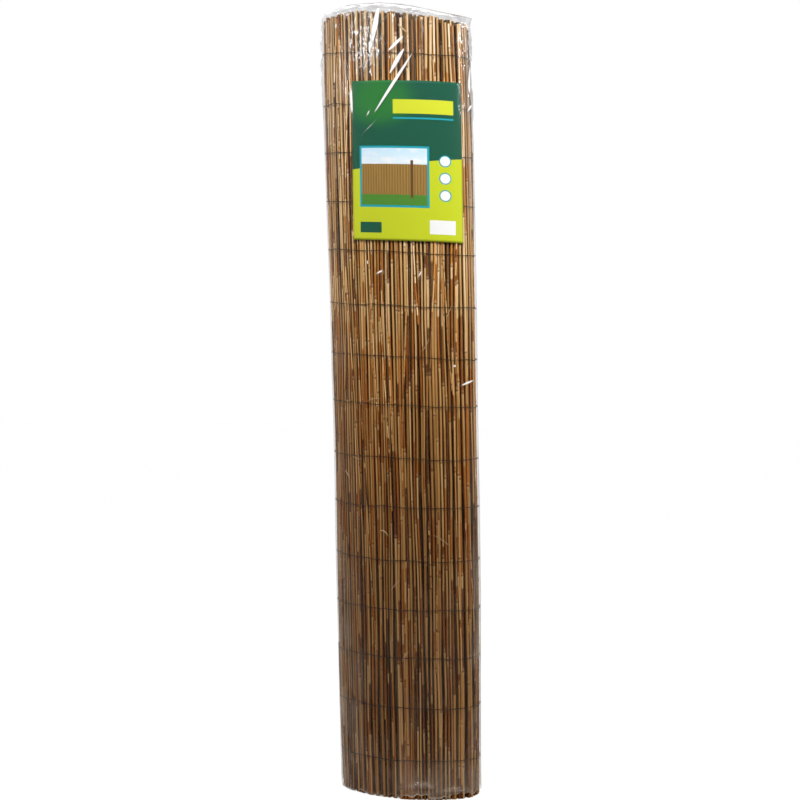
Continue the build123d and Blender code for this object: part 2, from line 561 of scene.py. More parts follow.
@dataclass(frozen=True)
class ReedFinish:
    """Dry reed: straw-coloured culm, brown leaf sheaths, dark knots and pale hollow ends, with painted shade and
    highlight across each reed and by height.
    """

    straw: Sequence[tuple[float, Colour]] = (
        (0.00, (0.13, 0.065, 0.022, 1)), (0.18, (0.28, 0.160, 0.055, 1)), (0.45, (0.46, 0.300, 0.130, 1)),
        (0.75, (0.60, 0.450, 0.270, 1)), (1.00, (0.76, 0.640, 0.460, 1)))
    sheath: Sequence[tuple[float, Colour]] = (
        (0.00, (0.045, 0.019, 0.008, 1)), (0.30, (0.14, 0.055, 0.014, 1)), (0.65, (0.34, 0.135, 0.022, 1)),
        (1.00, (0.48, 0.225, 0.050, 1)))
    knot: Colour = (0.050, 0.022, 0.010, 1)
    pith: Colour = (0.62, 0.50, 0.30, 1)
    # Painted shade in a reed's hollow bore, shown on its flat end caps.
    hollow: Colour = (0.030, 0.016, 0.008, 1)
    # Tint of a reed's flanks beside its crest, as painted shade.
    shaded_flank: Colour = (1.00, 0.70, 0.42, 1)
    # Painted shade and glare by height: the reeds darker and more orange low down, where less light falls, and paler
    # near the top.
    height_shade_and_glare: Sequence[tuple[float, Colour]] = (
        (0.03, (0.70, 0.54, 0.36, 1)), (0.18, (0.54, 0.41, 0.25, 1)), (0.36, (0.58, 0.45, 0.285, 1)),
        (0.55, (0.80, 0.66, 0.46, 1)), (0.69, (0.94, 0.90, 0.80, 1)), (0.82, (0.99, 0.99, 0.98, 1)),
        (1.00, (0.86, 0.90, 1.00, 1)))
    reed_radius: float = 0.0028

    def material(self) -> bpy.types.Material:
        """The finish as a material."""
        material, pad = new_material("reed")
        place = pad.here()
        x, y, z = pad.split(place)
        seed = pad.mark("reed_seed")
        gap = pad.mark("knot_gap")
        phase = pad.mark("knot_phase")
        axis = pad.mark("reed_axis", "Vector")

        along = z / gap + phase
        joint = along.math("FLOOR")
        share = along.math("FRACT")
        lot = pad.node("ShaderNodeTexWhiteNoise", {"noise_dimensions": "2D"},
                       {"Vector": pad.combine(seed * 917.0, joint, 0.0)})
        first, second, third = pad.split(Value(pad, lot.outputs["Color"]))
        own = pad.get("ShaderNodeTexWhiteNoise", {"noise_dimensions": "1D"}, {"W": seed * 531.0})

        fibre = pad.grain(place, (1500.0, 1500.0, 9.0), 3.0, 0.6)
        blotch = pad.grain(place, (120.0, 120.0, 14.0), 3.0, 0.55)
        tone = first * 0.55 + own * 0.35 + blotch * 0.35 - 0.14
        bare = pad.ramp(tone, self.straw)
        wrapped = pad.ramp(second * 0.75 + blotch * 0.5 - 0.12, self.sheath)
        cover = (third * 1.35 - 0.42) + (fibre - 0.5) * 0.06
        covered = (share - cover).rise(0.012, -0.012)
        colour = pad.blend(covered, bare, wrapped)

        near = (share.lower(1.0 - share)) * gap
        knot = near.rise(0.0026, 0.0010)
        ring = near.rise(0.0085, 0.0040) * (1.0 - knot) * own
        colour = pad.blend(ring * 0.35, colour, self.straw[-1][1])
        colour = pad.blend(knot * (0.25 + second * 0.45), colour, self.knot)
        colour = pad.dimmed(colour, fibre * 0.55 + 0.72)
        # Painted shade low down and painted glare near the top.
        height_shaded = pad.ramp(z / 1.5, self.height_shade_and_glare)
        colour = pad.blend(1.0, colour, height_shaded, "MULTIPLY")
        spot = pad.grain(place, (420.0, 420.0, 60.0), 2.0, 0.5).rise(0.70, 0.78)
        colour = pad.blend(spot * 0.4, colour, self.knot)

        ax, ay, _ = pad.split(axis)
        reach = ((x - ax) ** 2.0 + (y - ay) ** 2.0).math("SQRT")
        up = pad.split(pad.get("ShaderNodeNewGeometry", key="Normal"))[2].math("ABSOLUTE")
        cut = up.rise(0.8, 0.95)
        # The flat end caps get a pale pith ring round a dark disc, which is painted shade in the hollow bore.
        bore = reach.rise(self.reed_radius * 0.62, self.reed_radius * 0.5)
        end = pad.blend(bore, self.pith, self.hollow)
        # Painted shade and highlight across each reed, by which way it faces out of the mat: near-black seams and
        # darker, more orange flanks are painted shade, and the pale crest is a painted highlight, brighter higher up.
        outer = pad.mark("reed_out")
        # Per layer: darker second and inner turns are painted shade, and the strays are made paler.
        layer = pad.mark("reed_shade")
        crest_highlight = outer.rise(0.55, 0.98)
        sunlit = z.rise(0.75, 1.05)
        base = 0.12 + z.rise(1.28, 1.48) * 0.07
        painted_shade_and_highlight = (outer.rise(-0.05, 0.80) * (0.60 - sunlit * 0.08) + base + crest_highlight * (0.62 + sunlit * 0.30)) * layer
        colour = pad.blend(1.0, colour, pad.blend(crest_highlight, self.shaded_flank, grey(1.0)), "MULTIPLY")
        colour = pad.dimmed(colour, painted_shade_and_highlight)
        colour = pad.blend(cut, colour, end)

        rough = 0.36 + covered * 0.16 + fibre * 0.16
        bump = pad.bump(fibre + knot * 0.4, 0.35, 0.0004)
        shader = pad.surface({
            "Base Color": colour, "Roughness": rough, "Normal": bump, "Specular IOR Level": 0.16})
        show(pad, shader)
        return material


@dataclass(frozen=True)
class WireFinish:
    """Dark annealed wire with a trace of rust."""

    steel: Colour = (0.012, 0.009, 0.007, 1)
    rust: Colour = (0.035, 0.016, 0.009, 1)

    def material(self) -> bpy.types.Material:
        """The finish as a material."""
        material, pad = new_material("binding_wire")
        age = pad.cloud(pad.here(), 160.0, 3.0, 0.6)
        colour = pad.blend(age.rise(0.45, 0.7), self.steel, self.rust)
        shader = pad.surface({
            "Base Color": colour, "Roughness": 0.48 + age * 0.3, "Metallic": 0.2, "Specular IOR Level": 0.2})
        show(pad, shader)
        return material


@dataclass(frozen=True)
class FilmFinish:
    """Clear film: thin, glossy, hazy where it stands away, with painted sheen on its two sides and painted white
    glints and pale streaks where it is crumpled and pleated.
    """

    tint: Colour = (0.972, 0.972, 0.975, 1)
    mirror: Colour = (0.97, 0.97, 0.98, 1)
    haze: Colour = (0.33, 0.315, 0.31, 1)
    dusty: Colour = (0.58, 0.47, 0.36, 1)
    seal: Colour = (0.16, 0.045, 0.030, 1)

    def material(self) -> bpy.types.Material:
        """The finish as a material."""
        material, pad = new_material("clear_film")
        place = pad.here()
        creased = pad.mark("film_crumple")
        haze_and_edge_sheen = pad.mark("film_haze")
        sealed = pad.mark("film_seal")
        folded = pad.mark("film_pleat")
        crinkle = pad.grain(place, (95.0, 95.0, 60.0), 4.0, 0.6)
        fine = pad.grain(place, (260.0, 260.0, 40.0), 2.0, 0.5)
        bump = pad.bump(crinkle * (0.25 + creased * 2.2) + fine * 0.12, 0.5, 0.002)
        facing = pad.get("ShaderNodeLayerWeight", None, {"Blend": 0.5, "Normal": bump}, "Facing")
        sheen = facing ** 4.0 * 0.20 + 0.003 + creased * 0.03
        patch = pad.cloud(place, 9.0, 3.0, 0.6).rise(0.35, 0.75)
        wisp = pad.grain(place, (34.0, 34.0, 13.0), 4.0, 0.65).rise(0.44, 0.62)
        # The film's haze attribute brings a pale cloudy layer: film haze low down, at the rim and hem and over the
        # top, and painted sheen on the two sides.
        veil = haze_and_edge_sheen * (0.006 + patch * 0.028 + wisp * 0.026) + facing ** 4.0 * 0.40
        # The crumple and pleat terms are pale streaks of painted sheen.
        veil = veil + sealed * 0.9 + creased * 0.04 + folded.rise(0.08, 0.42) * 0.13
        hazed = pad.blend(pad.split(place)[2].rise(0.9, 1.45), self.dusty, self.haze)
        # Painted glints: sharp white shards in crumpled film and on the taller pleats.
        glint_shards = pad.grain(place, (240.0, 240.0, 95.0), 3.0, 0.62)
        painted_glint = (glint_shards + creased * 0.24).rise(0.79, 0.88).upper(folded.rise(0.40, 0.55))

        clear = pad.get("ShaderNodeBsdfTransparent", None, {"Color": self.tint})
        gloss = pad.surface({"Base Color": self.mirror, "Metallic": 1.0, "Roughness": 0.07, "Normal": bump})
        hazed = pad.blend(sealed, hazed, self.seal)
        cloudy = pad.surface({"Base Color": hazed, "Roughness": 0.5, "Normal": bump})
        # The pale surface of the painted glints.
        white = pad.surface({"Base Color": grey(0.95), "Roughness": 0.18 + glint_shards * 0.2, "Normal": bump})
        skin = pad.layered(sheen.lower(1.0), clear, gloss)
        skin = pad.layered(veil.lower(1.0), skin, cloudy)
        show(pad, pad.layered(painted_glint * 0.86, skin, white))
        return material


@dataclass(frozen=True)
class CardFinish:
    """Printed card: two plain fields of green with a framed picture panel and plain shapes."""

    deep: Colour = (0.010, 0.085, 0.048, 1)
    leaf: Colour = (0.030, 0.200, 0.030, 1)
    lime: Colour = (0.540, 0.610, 0.020, 1)
    teal: Colour = (0.015, 0.330, 0.400, 1)
    yellow: Colour = (0.600, 0.640, 0.030, 1)
    sky: Colour = (0.560, 0.760, 0.880, 1)
    mat: Colour = (0.330, 0.190, 0.050, 1)
    grass: Colour = (0.120, 0.260, 0.030, 1)
    paper: Colour = (0.860, 0.860, 0.840, 1)
    post: Colour = (0.120, 0.060, 0.020, 1)
    panel: Area = (16.0, 150.0, 62.0, 176.0)
    picture: Area = (20.0, 146.0, 66.0, 172.0)
    post_area: Area = (116.0, 121.0, 80.0, 150.0)
    bar: Area = (84.0, 194.0, 236.0, 262.0)
    stripe: Area = (84.0, 194.0, 226.0, 229.0)
    blank: Area = (150.0, 196.0, 14.0, 40.0)
    swatch: Area = (16.0, 60.0, 14.0, 34.0)
    discs: Sequence[tuple[float, float]] = ((178.0, 150.0), (178.0, 118.0), (178.0, 86.0))
    disc_radii: tuple[float, float] = (11.0, 9.0)
    blur: float = 0.25

    def box(self, u: Value, v: Value, area: Area) -> Value:
        """One inside a rectangle of the card, else zero.

        Args:
            u: Millimetres from the card's left edge.
            v: Millimetres up from the card's lower edge.
            area: Left, right, lower and upper edges.

        Returns:
            The mask.
        """
        left, right, low, high = area
        soft = self.blur
        across = u.rise(left - soft, left + soft) * u.rise(right + soft, right - soft)
        return across * v.rise(low - soft, low + soft) * v.rise(high + soft, high - soft)

    def disc(self, u: Value, v: Value, centre: tuple[float, float], radius: float) -> Value:
        """One inside a disc of the card, else zero."""
        reach = ((u - centre[0]) ** 2.0 + (v - centre[1]) ** 2.0).math("SQRT")
        return reach.rise(radius + self.blur, radius - self.blur)

    def material(self, width: float, height: float) -> bpy.types.Material:
        """The finish as a material.

        Args:
            width: The card's width in millimetres.
            height: The card's height in millimetres.

        Returns:
            The material.
        """
        material, pad = new_material("insert_card")
        where = pad.split(pad.get("ShaderNodeTexCoord", key="UV"))
        u, v = where[0] * width, where[1] * height
        glow = (((u - 55.0) / 85.0) ** 2.0 + ((v - 262.0) / 60.0) ** 2.0).rise(1.0, 0.0)
        upper = pad.blend(glow * 0.75, self.deep, self.leaf)
        edge = v - 132.0 - (u / width) * 24.0
        colour = pad.blend(edge.rise(-0.3, 0.3), self.lime, upper)

        ragged = pad.cloud(pad.combine(u * 0.55, v * 0.02, 3.0), 1.0, 3.0, 0.6)
        bars = ((u * 0.19).math("FRACT") - 0.5).math("ABSOLUTE") * 0.9 + 0.35 + ragged * 0.6
        fence = pad.dimmed(self.mat, bars)
        bank = pad.cloud(pad.combine(u * 0.045, v * 0.09, 1.0), 1.0, 4.0, 0.55).rise(0.48, 0.68)
        sky = pad.blend(v.rise(172.0, 144.0) * 0.5 + bank * 0.45, self.sky, grey(0.88))
        scene = pad.blend((v + ragged * 3.0).rise(143.5, 144.5), fence, sky)
        turf = pad.blend(pad.cloud(pad.combine(u * 0.8, v * 0.25, 5.0), 1.0, 3.0, 0.6), self.leaf, self.grass)
        scene = pad.blend((v - ragged * 5.0).rise(84.0, 82.5), scene, turf)
        scene = pad.blend(self.box(u, v, self.post_area), scene, self.post)
        for area, paint in ((self.panel, self.teal), (self.picture, scene), (self.bar, self.yellow),
                            (self.stripe, self.teal), (self.blank, self.paper), (self.swatch, self.deep)):
            colour = pad.blend(self.box(u, v, area), colour, paint)
        for centre in self.discs:
            for radius, paint in zip(self.disc_radii, (self.teal, self.paper)):
                colour = pad.blend(self.disc(u, v, centre, radius), colour, paint)

        grain = pad.cloud(pad.here(), 700.0, 2.0, 0.5)
        colour = pad.dimmed(colour, grain * 0.10 + 0.95)
        bump = pad.bump(grain, 0.08, 0.0002)
        shader = pad.surface({
            "Base Color": colour, "Roughness": 0.48 + grain * 0.1, "Normal": bump, "Specular IOR Level": 0.1})
        show(pad, shader)
        return material

    def plain(self) -> bpy.types.Material:
        """The bare paper of the card's back and edges."""
        material, pad = new_material("card_back")
        fibres = pad.cloud(pad.here(), 500.0, 3.0, 0.6)
        show(pad, pad.surface({
            "Base Color": pad.blend(fibres * 0.3, self.paper, grey(0.55)), "Roughness": 0.7 + fibres * 0.15}))
        return material


class Layer(Enum):
    """Which part of the wound mat a run of reeds is."""

    OUTER = "outer_reeds"
    SECOND = "second_turn_reeds"
    INNER = "inner_turn_reeds"
    STRAY = "stray_reeds"


@dataclass
class ReedMat:
    """All the reeds of the mat, in runs along the winding."""

    winding: Winding
    length: float
    spacing: float = 0.0059
    radius: float = 0.0028
    inset: float = -0.0031
    stray_spacing: float = 0.0098
    stray_radius: float = 0.0016
    stray_outset: float = -0.0003
    jitter: float = 0.22
    layers: tuple[float, float] = (-0.0007, 0.0004)
    knot_gaps: tuple[float, float] = (0.16, 0.29)
    knot_half: float = 0.0055
    knot_clear: tuple[float, float] = (0.008, 0.012)
    knot_swell: float = 0.14
    seed: int = 11

    def tree(self) -> Growth:
        """The tree that stands reeds along a line.

        Returns:
            The tree.
        """
        pad = Growth("reeds_on_a_line", {
            **dict.fromkeys(("Spacing", "Length", "Radius", "Spread", "Taper", "Sway", "Tip", "Fall", "Shade", "Tilt",
                             "Share Low", "Share High"), "Float"),
            **dict.fromkeys(("Sides", "Rings", "Knots", "Seed"), "Int"), "Finish": "Material"})
        length = pad.given("Length")
        stops = pad.resample(pad.line(), "LENGTH", pad.given("Spacing"))
        spread = pad.node("GeometryNodeCurveToPoints", {"mode": "EVALUATED"}, {"Curve": stops})
        points = Value(pad, spread.outputs["Points"])
        run = Value(pad, spread.outputs["Tangent"])
        points = pad.store(points, "reed_run", run, "FLOAT_VECTOR")
        jitter = pad.chance(-self.jitter, self.jitter, 1) * pad.given("Spacing")
        points = pad.place(points, "Offset", pad.get("ShaderNodeVectorMath", {"operation": "SCALE"},
                                                     {0: pad.vector("reed_run"), 3: jitter}))
        points = pad.store(points, "reed_axis", pad.spot(), "FLOAT_VECTOR")
        points = pad.store(points, "reed_seed", pad.chance(0.0, 1.0, 2))
        spread_by = pad.given("Spread")
        points = pad.store(points, "reed_slim", pad.chance(1.0 - spread_by, 1.0 + spread_by * 0.5, 3))
        points = pad.store(points, "reed_lean", (pad.chance(0.0, 1.0, 4).below(0.4)) * 2.0 - 1.0)
        points = pad.store(points, "reed_tilt", pad.chance(-1.0, 1.0, 11) * pad.given("Tilt"))
        points = pad.store(points, "reed_layer", pad.chance(*self.layers, 5))
        end = pad.split(pad.vector("reed_axis"))[0]
        lowered = ((end + self.winding.fall_start) / self.winding.fall_run).upper(0.0)
        fall = lowered ** self.winding.fall_power * pad.given("Fall")
        tip = (pad.chance(0.0, 1.0, 6) ** 2.5 * pad.given("Tip") + fall) / length
        share = pad.chance(pad.given("Share Low"), pad.given("Share High"), 7) - tip
        points = pad.store(points, "reed_share", share)
        room = (1.0 - tip - pad.kept("reed_share")).upper(0.0) * length
        points = pad.store(points, "reed_from", pad.chance(0.0, 1.0, 8) * room)
        points = pad.store(points, "raw_gap", pad.chance(*self.knot_gaps, 9))
        points = pad.store(points, "raw_phase", pad.chance(0.0, 1.0, 10))
        gap = pad.kept("raw_gap") * pad.kept("reed_share")
        points = pad.store(points, "knot_gap", gap)
        points = pad.store(points, "knot_phase", pad.kept("raw_phase") - pad.kept("reed_from") / gap)

        rod = pad.rod((0.0, 0.0, 0.0), pad.combine(0.0, 0.0, length), pad.given("Rings"))
        shaft = pad.tube(rod, pad.given("Sides"), pad.given("Radius"), 1.0, True)
        shafts = pad.scatter(points, shaft)

        copies = pad.node("GeometryNodeDuplicateElements", {"domain": "POINT"},
                          {"Geometry": points, "Amount": pad.given("Knots")})
        height = (Value(pad, copies.outputs[1]) + 1.0 - pad.kept("raw_phase")) * pad.kept("raw_gap")
        raised = pad.place(Value(pad, copies.outputs[0]), "Offset", pad.combine(0.0, 0.0, height))
        top = pad.split(pad.spot())[2]
        lowest, from_top = self.knot_clear
        beyond = (length - from_top).below(top).upper(top.below(lowest))
        raised = pad.get("GeometryNodeDeleteGeometry", {"domain": "POINT"}, {"Geometry": raised, "Selection": beyond})
        stub = pad.rod((0.0, 0.0, -self.knot_half), (0.0, 0.0, self.knot_half), 5)
        middle = (pad.get("GeometryNodeSplineParameter") * 2.0 - 1.0).math("ABSOLUTE")
        swell = (1.0 - middle ** 1.5) * self.knot_swell + 0.98
        knot = pad.tube(stub, pad.given("Sides"), pad.given("Radius"), swell, False)
        solid = pad.realized(pad.joined(pad.scatter(raised, knot), shafts))
        x, y, _ = pad.split(pad.spot())
        ax, ay, _ = pad.split(pad.vector("reed_axis"))
        tx, ty, _ = pad.split(pad.vector("reed_run"))
        solid = pad.store(solid, "reed_out", ((x - ax) * ty - (y - ay) * tx) / pad.given("Radius"))
        solid = pad.store(solid, "reed_shade", pad.given("Shade") + 0.0)
        shift, spot = self.crooked(pad)
        solid = pad.store(solid, "reed_shift", shift, "FLOAT_VECTOR")
        solid = pad.place(solid, "Position", spot)
        axis = pad.get("ShaderNodeVectorMath", {"operation": "ADD"}, {
            0: pad.vector("reed_axis"), 1: pad.vector("reed_shift")})
        pad.deliver(pad.store(solid, "reed_axis", axis, "FLOAT_VECTOR"))
        return pad

    def crooked(self, pad: Growth) -> tuple[Value, Value]:
        """Where each point of a straight reed goes on a tapered, swaying one.

        Args:
            pad: The tree.

        Returns:
            How far the reed's axis moves there, and the point's new position.
        """
        length = pad.given("Length")
        x, y, z = pad.split(pad.spot())
        ax, ay, _ = pad.split(pad.vector("reed_axis"))
        tx, ty, _ = pad.split(pad.vector("reed_run"))
        width = pad.kept("reed_slim") * ((0.5 - z / length) * pad.given("Taper") * pad.kept("reed_lean") + 1.0)
        level = pad.kept("reed_from") + z * pad.kept("reed_share")
        shared = pad.cloud(pad.combine(ax * 24.0, ay * 24.0, level * 2.8), 1.0, 1.0) - 0.5
        own = pad.cloud(pad.combine(pad.kept("reed_seed") * 310.0, 4.7, level * 4.5), 1.0, 1.0) - 0.5
        deep = pad.cloud(pad.combine(9.3, pad.kept("reed_seed") * 270.0, level * 3.5), 1.0, 1.0) - 0.5
        tilt = pad.kept("reed_tilt") * (pad.kept("reed_share") * 2.4).lower(1.0)
        along = (shared * 1.2 + own * 0.9) * pad.given("Sway") + (z / length - 0.5) * tilt
        out = pad.kept("reed_layer") + deep * 0.0016
        shift_x, shift_y = tx * along + ty * out, ty * along - tx * out
        spot = pad.combine(ax + (x - ax) * width + shift_x, ay + (y - ay) * width + shift_y, level)
        return pad.combine(shift_x, shift_y, 0.0), spot

    def build(self, finish: bpy.types.Material) -> dict[Layer, bpy.types.Object]:
        """Stands the reeds of every turn.

        Args:
            finish: The reeds' material.

        Returns:
            The pieces by layer.
        """
        tree = self.tree()
        line = self.winding.run
        common = {"Length": self.length, "Finish": finish, "Fall": self.winding.tip_fall}
        mat = {"Spacing": self.spacing, "Radius": self.radius, "Share_Low": 1.0, "Share_High": 1.0, **common}
        made = {}
        made[Layer.OUTER] = tree.run(
            Layer.OUTER.value, line(0.0, 1.0, self.inset), Spread=0.30, Taper=0.28, Sway=0.0062, Tip=0.012, Sides=10,
            Rings=30, Knots=9, Shade=1.0, Tilt=0.007, Seed=self.seed, **mat)
        # Shade darkens the second and inner turns, which lie behind the outer turn, as painted shade; for the strays
        # it is above one and makes them paler.
        made[Layer.SECOND] = tree.run(
            Layer.SECOND.value, line(1.0, 2.0, self.inset), Spread=0.15, Taper=0.2, Sway=0.003, Tip=0.012, Sides=8,
            Rings=12, Knots=0, Shade=0.30, Tilt=0.0, Seed=self.seed + 20, **mat)
        made[Layer.INNER] = tree.run(
            Layer.INNER.value, line(2.0, self.winding.turns, self.inset), Spread=0.15, Taper=0.1, Sway=0.001,
            Tip=0.010, Sides=7, Rings=3, Knots=0, Shade=0.45, Tilt=0.0, Seed=self.seed + 40, **mat)
        made[Layer.STRAY] = tree.run(
            Layer.STRAY.value, line(0.005, 0.995, self.stray_outset), Spacing=self.stray_spacing,
            Radius=self.stray_radius, Spread=0.2, Taper=0.3, Sway=0.010, Tip=0.012, Sides=8, Rings=12, Knots=6,
            Shade=1.2, Tilt=0.028, Seed=self.seed + 60, Share_Low=0.08, Share_High=0.42, **common)
        return made


@dataclass
class BindingWires:
    """The rows of binding wire, with the small stitches that tie each group of reeds."""

    winding: Winding
    rows: int = 15
    edge: float = 0.078
    length: float = 1.5
    radius: float = 0.00063
    wander: float = 0.0055
    slant: float = 0.070
    step: float = 0.0032
    stitch: float = 0.0177
    outset: float = 0.0009
    uneven: Sequence[float] = (
        -0.002, 0.004, 0.005, 0.002, 0.001, 0.006, 0.004, 0.009, 0.004, 0.005, 0.010, 0.006, 0.002, -0.004, -0.004)
    seed: int = 5

    def tree(self) -> Growth:
        """The tree that lays the rows of wire along a line.

        Returns:
            The tree.
        """
        pad = Growth("rows_of_wire", {
            "Rows": "Int", **dict.fromkeys(("First", "Pitch", "Radius", "Wander", "Stitch", "Slant"), "Float"),
            "Seed": "Int", "Finish": "Material"})
        strand = pad.resample(pad.line(), "LENGTH", self.step)
        ladder = pad.get("GeometryNodeMeshLine", {"mode": "OFFSET"}, {
            "Count": pad.given("Rows"), "Start Location": pad.combine(0.0, 0.0, pad.given("First")),
            "Offset": pad.combine(0.0, 0.0, pad.given("Pitch"))})
        ladder = pad.store(ladder, "row", pad.get("GeometryNodeInputIndex") + 0.0)
        rows = pad.realized(pad.scatter(ladder, strand))
        x, y, z = pad.split(pad.spot())
        row = pad.kept("row")
        wave = pad.cloud(pad.combine(x * 17.0, y * 17.0, row * 3.7), 1.0, 2.0, 0.55) - 0.5
        ripple = pad.cloud(pad.combine(x * 90.0, y * 90.0, row * 5.1), 1.0, 1.0) - 0.5
        drop = (wave * 1.8 + ripple * 0.35) * pad.given("Wander") + self.unevenness(pad, row)
        tight = 1.0 + ripple * 0.004
        slant = x * z * pad.given("Slant")
        rows = pad.place(rows, "Position", pad.combine(x * tight, y * tight, z + drop - slant))
        wires = pad.tube(rows, 6, pad.given("Radius"), 1.0, True)

        ties = pad.resample(rows, "LENGTH", pad.given("Stitch"))
        spots = pad.node("GeometryNodeCurveToPoints", {"mode": "EVALUATED"}, {"Curve": ties})
        ring = pad.get("GeometryNodeCurvePrimitiveCircle", {"mode": "RADIUS"},
                       {"Resolution": 9, "Radius": pad.given("Radius") * 1.4})
        loop = pad.tube(ring, 5, pad.given("Radius") * 0.8, 1.0, False)
        lean = pad.get("FunctionNodeEulerToRotation", None, {0: pad.combine(0.3, pad.chance(-0.5, 0.5, 1), 0.0)})
        turned = pad.get("FunctionNodeRotateRotation", {"rotation_space": "LOCAL"},
                         {0: Value(pad, spots.outputs["Rotation"]), 1: lean})
        loops = pad.scatter(Value(pad, spots.outputs["Points"]), loop, Rotation=turned)
        pad.deliver(pad.joined(wires, pad.realized(loops)))
        return pad

    def unevenness(self, pad: Growth, row: Value) -> Value:
        """How far each row sits above its even place."""
        switch = pad.node("GeometryNodeIndexSwitch", {"data_type": "FLOAT"}, {"Index": row + 0.5})
        while len(switch.index_switch_items) < len(self.uneven):
            switch.index_switch_items.new()
        for socket, rise in zip(list(switch.inputs)[1:], self.uneven):
            socket.default_value = rise
        return Value(pad, switch.outputs[0])

    def build(self, finish: bpy.types.Material) -> bpy.types.Object:
        """Lays all the rows of wire.

        Args:
            finish: The wire's material.

        Returns:
            The wires, as one piece.
        """
        line = self.winding.run(0.004, 0.997, self.outset, 300)
        pitch = (self.length - 2 * self.edge) / (self.rows - 1)
        return self.tree().run("binding_wires", line, Rows=self.rows, First=self.edge, Pitch=pitch,
                               Radius=self.radius, Wander=self.wander, Stitch=self.stitch, Slant=self.slant,
                               Seed=self.seed, Finish=finish)


@dataclass
class InsertCard:
    """The printed sheet that lies on the front of the roll, under the film."""

    winding: Winding
    width: float = 0.210
    height: float = 0.297
    top: float = 1.3635
    middle_angle: float = 285.5
    outset: float = 0.0027
    slant: float = 0.062
    tilt: float = 0.0125
    thickness: float = 0.0004
    across: int = 48
    upward: int = 60

    def build(self, finish: CardFinish) -> bpy.types.Object:
        """Bends the sheet round the roll.

        Args:
            finish: The card's print.

        Returns:
            The card.
        """
        middle = (self.middle_angle - math.degrees(self.winding.free_edge)) / 360.0
        line = np.array(self.winding.run(middle - 0.3, middle + 0.3, self.outset, 1200))
        walked = np.concatenate([[0.0], np.cumsum(np.linalg.norm(np.diff(line, axis=0), axis=1))])
        walked -= walked[len(line) // 2]
        run = np.gradient(line, walked, axis=0)
        verts, uvs = [], []
        for column in range(self.across + 1):
            share = column / self.across
            for row in range(self.upward + 1):
                level = row / self.upward
                height = self.top - self.height * (1.0 - level)
                at = (share - 0.5) * self.width + (level - 0.5) * self.height * self.tilt
                spot = Vector([np.interp(at, walked, line[:, k]) for k in range(2)] + [0.0])
                out = Vector((np.interp(at, walked, run[:, 1]), -np.interp(at, walked, run[:, 0]), 0.0))
                wave = noise.noise(Vector((share * 2.2, level * 3.0, 0.4))) * 0.0003
                curl = max(0.0, share + (1.0 - level) - 1.82) ** 2 * 0.012
                lean = (share - 0.5) * self.width * self.slant
                verts.append(spot + out * (wave + curl) + Vector((0, 0, height - lean)))
                uvs.append((share, level))
        step = self.upward + 1
        faces = [(c * step + r, (c + 1) * step + r, (c + 1) * step + r + 1, c * step + r + 1)
                 for c in range(self.across) for r in range(self.upward)]
        mesh = bpy.data.meshes.new("insert_card_sheet")
        mesh.from_pydata(verts, [], faces)
        layer = mesh.uv_layers.new(name="card")
        for loop in mesh.loops:
            layer.data[loop.index].uv = uvs[loop.vertex_index]
        mesh.polygons.foreach_set("use_smooth", [True] * len(faces))
        mesh.materials.append(finish.material(self.width * 1000.0, self.height * 1000.0))
        mesh.materials.append(finish.plain())
        sheet = add_object("insert_card_sheet", mesh)
        body = sheet.modifiers.new("thickness", "SOLIDIFY")
        body.thickness, body.offset = self.thickness, -1.0
        body.material_offset = body.material_offset_rim = 1
        solid = bpy.data.meshes.new_from_object(sheet.evaluated_get(bpy.context.evaluated_depsgraph_get()))
        sheet.modifiers.clear()
        sheet.data = solid
        return sheet


@dataclass(frozen=True)
class HuskFinish:
    """Loose leaf husk: pale, thin and fibrous."""

    pale: Colour = (0.62, 0.44, 0.24, 1)
    brown: Colour = (0.36, 0.19, 0.07, 1)

    def material(self) -> bpy.types.Material:
        """The finish as a material."""
        material, pad = new_material("leaf_husk")
        fibre = pad.grain(pad.here(), (900.0, 900.0, 240.0), 3.0, 0.6)
        colour = pad.blend(fibre.rise(0.35, 0.7), self.pale, self.brown)
        bump = pad.bump(fibre, 0.3, 0.0003)
        show(pad, pad.surface({"Base Color": colour, "Roughness": 0.45 + fibre * 0.2, "Normal": bump}))
        return material


@dataclass(frozen=True)
class Scrap:
    """A loose husk on the mat, by its ends in pixels of the view, its half width and its bow."""

    start: tuple[float, float]
    end: tuple[float, float]
    half: float
    bow: float


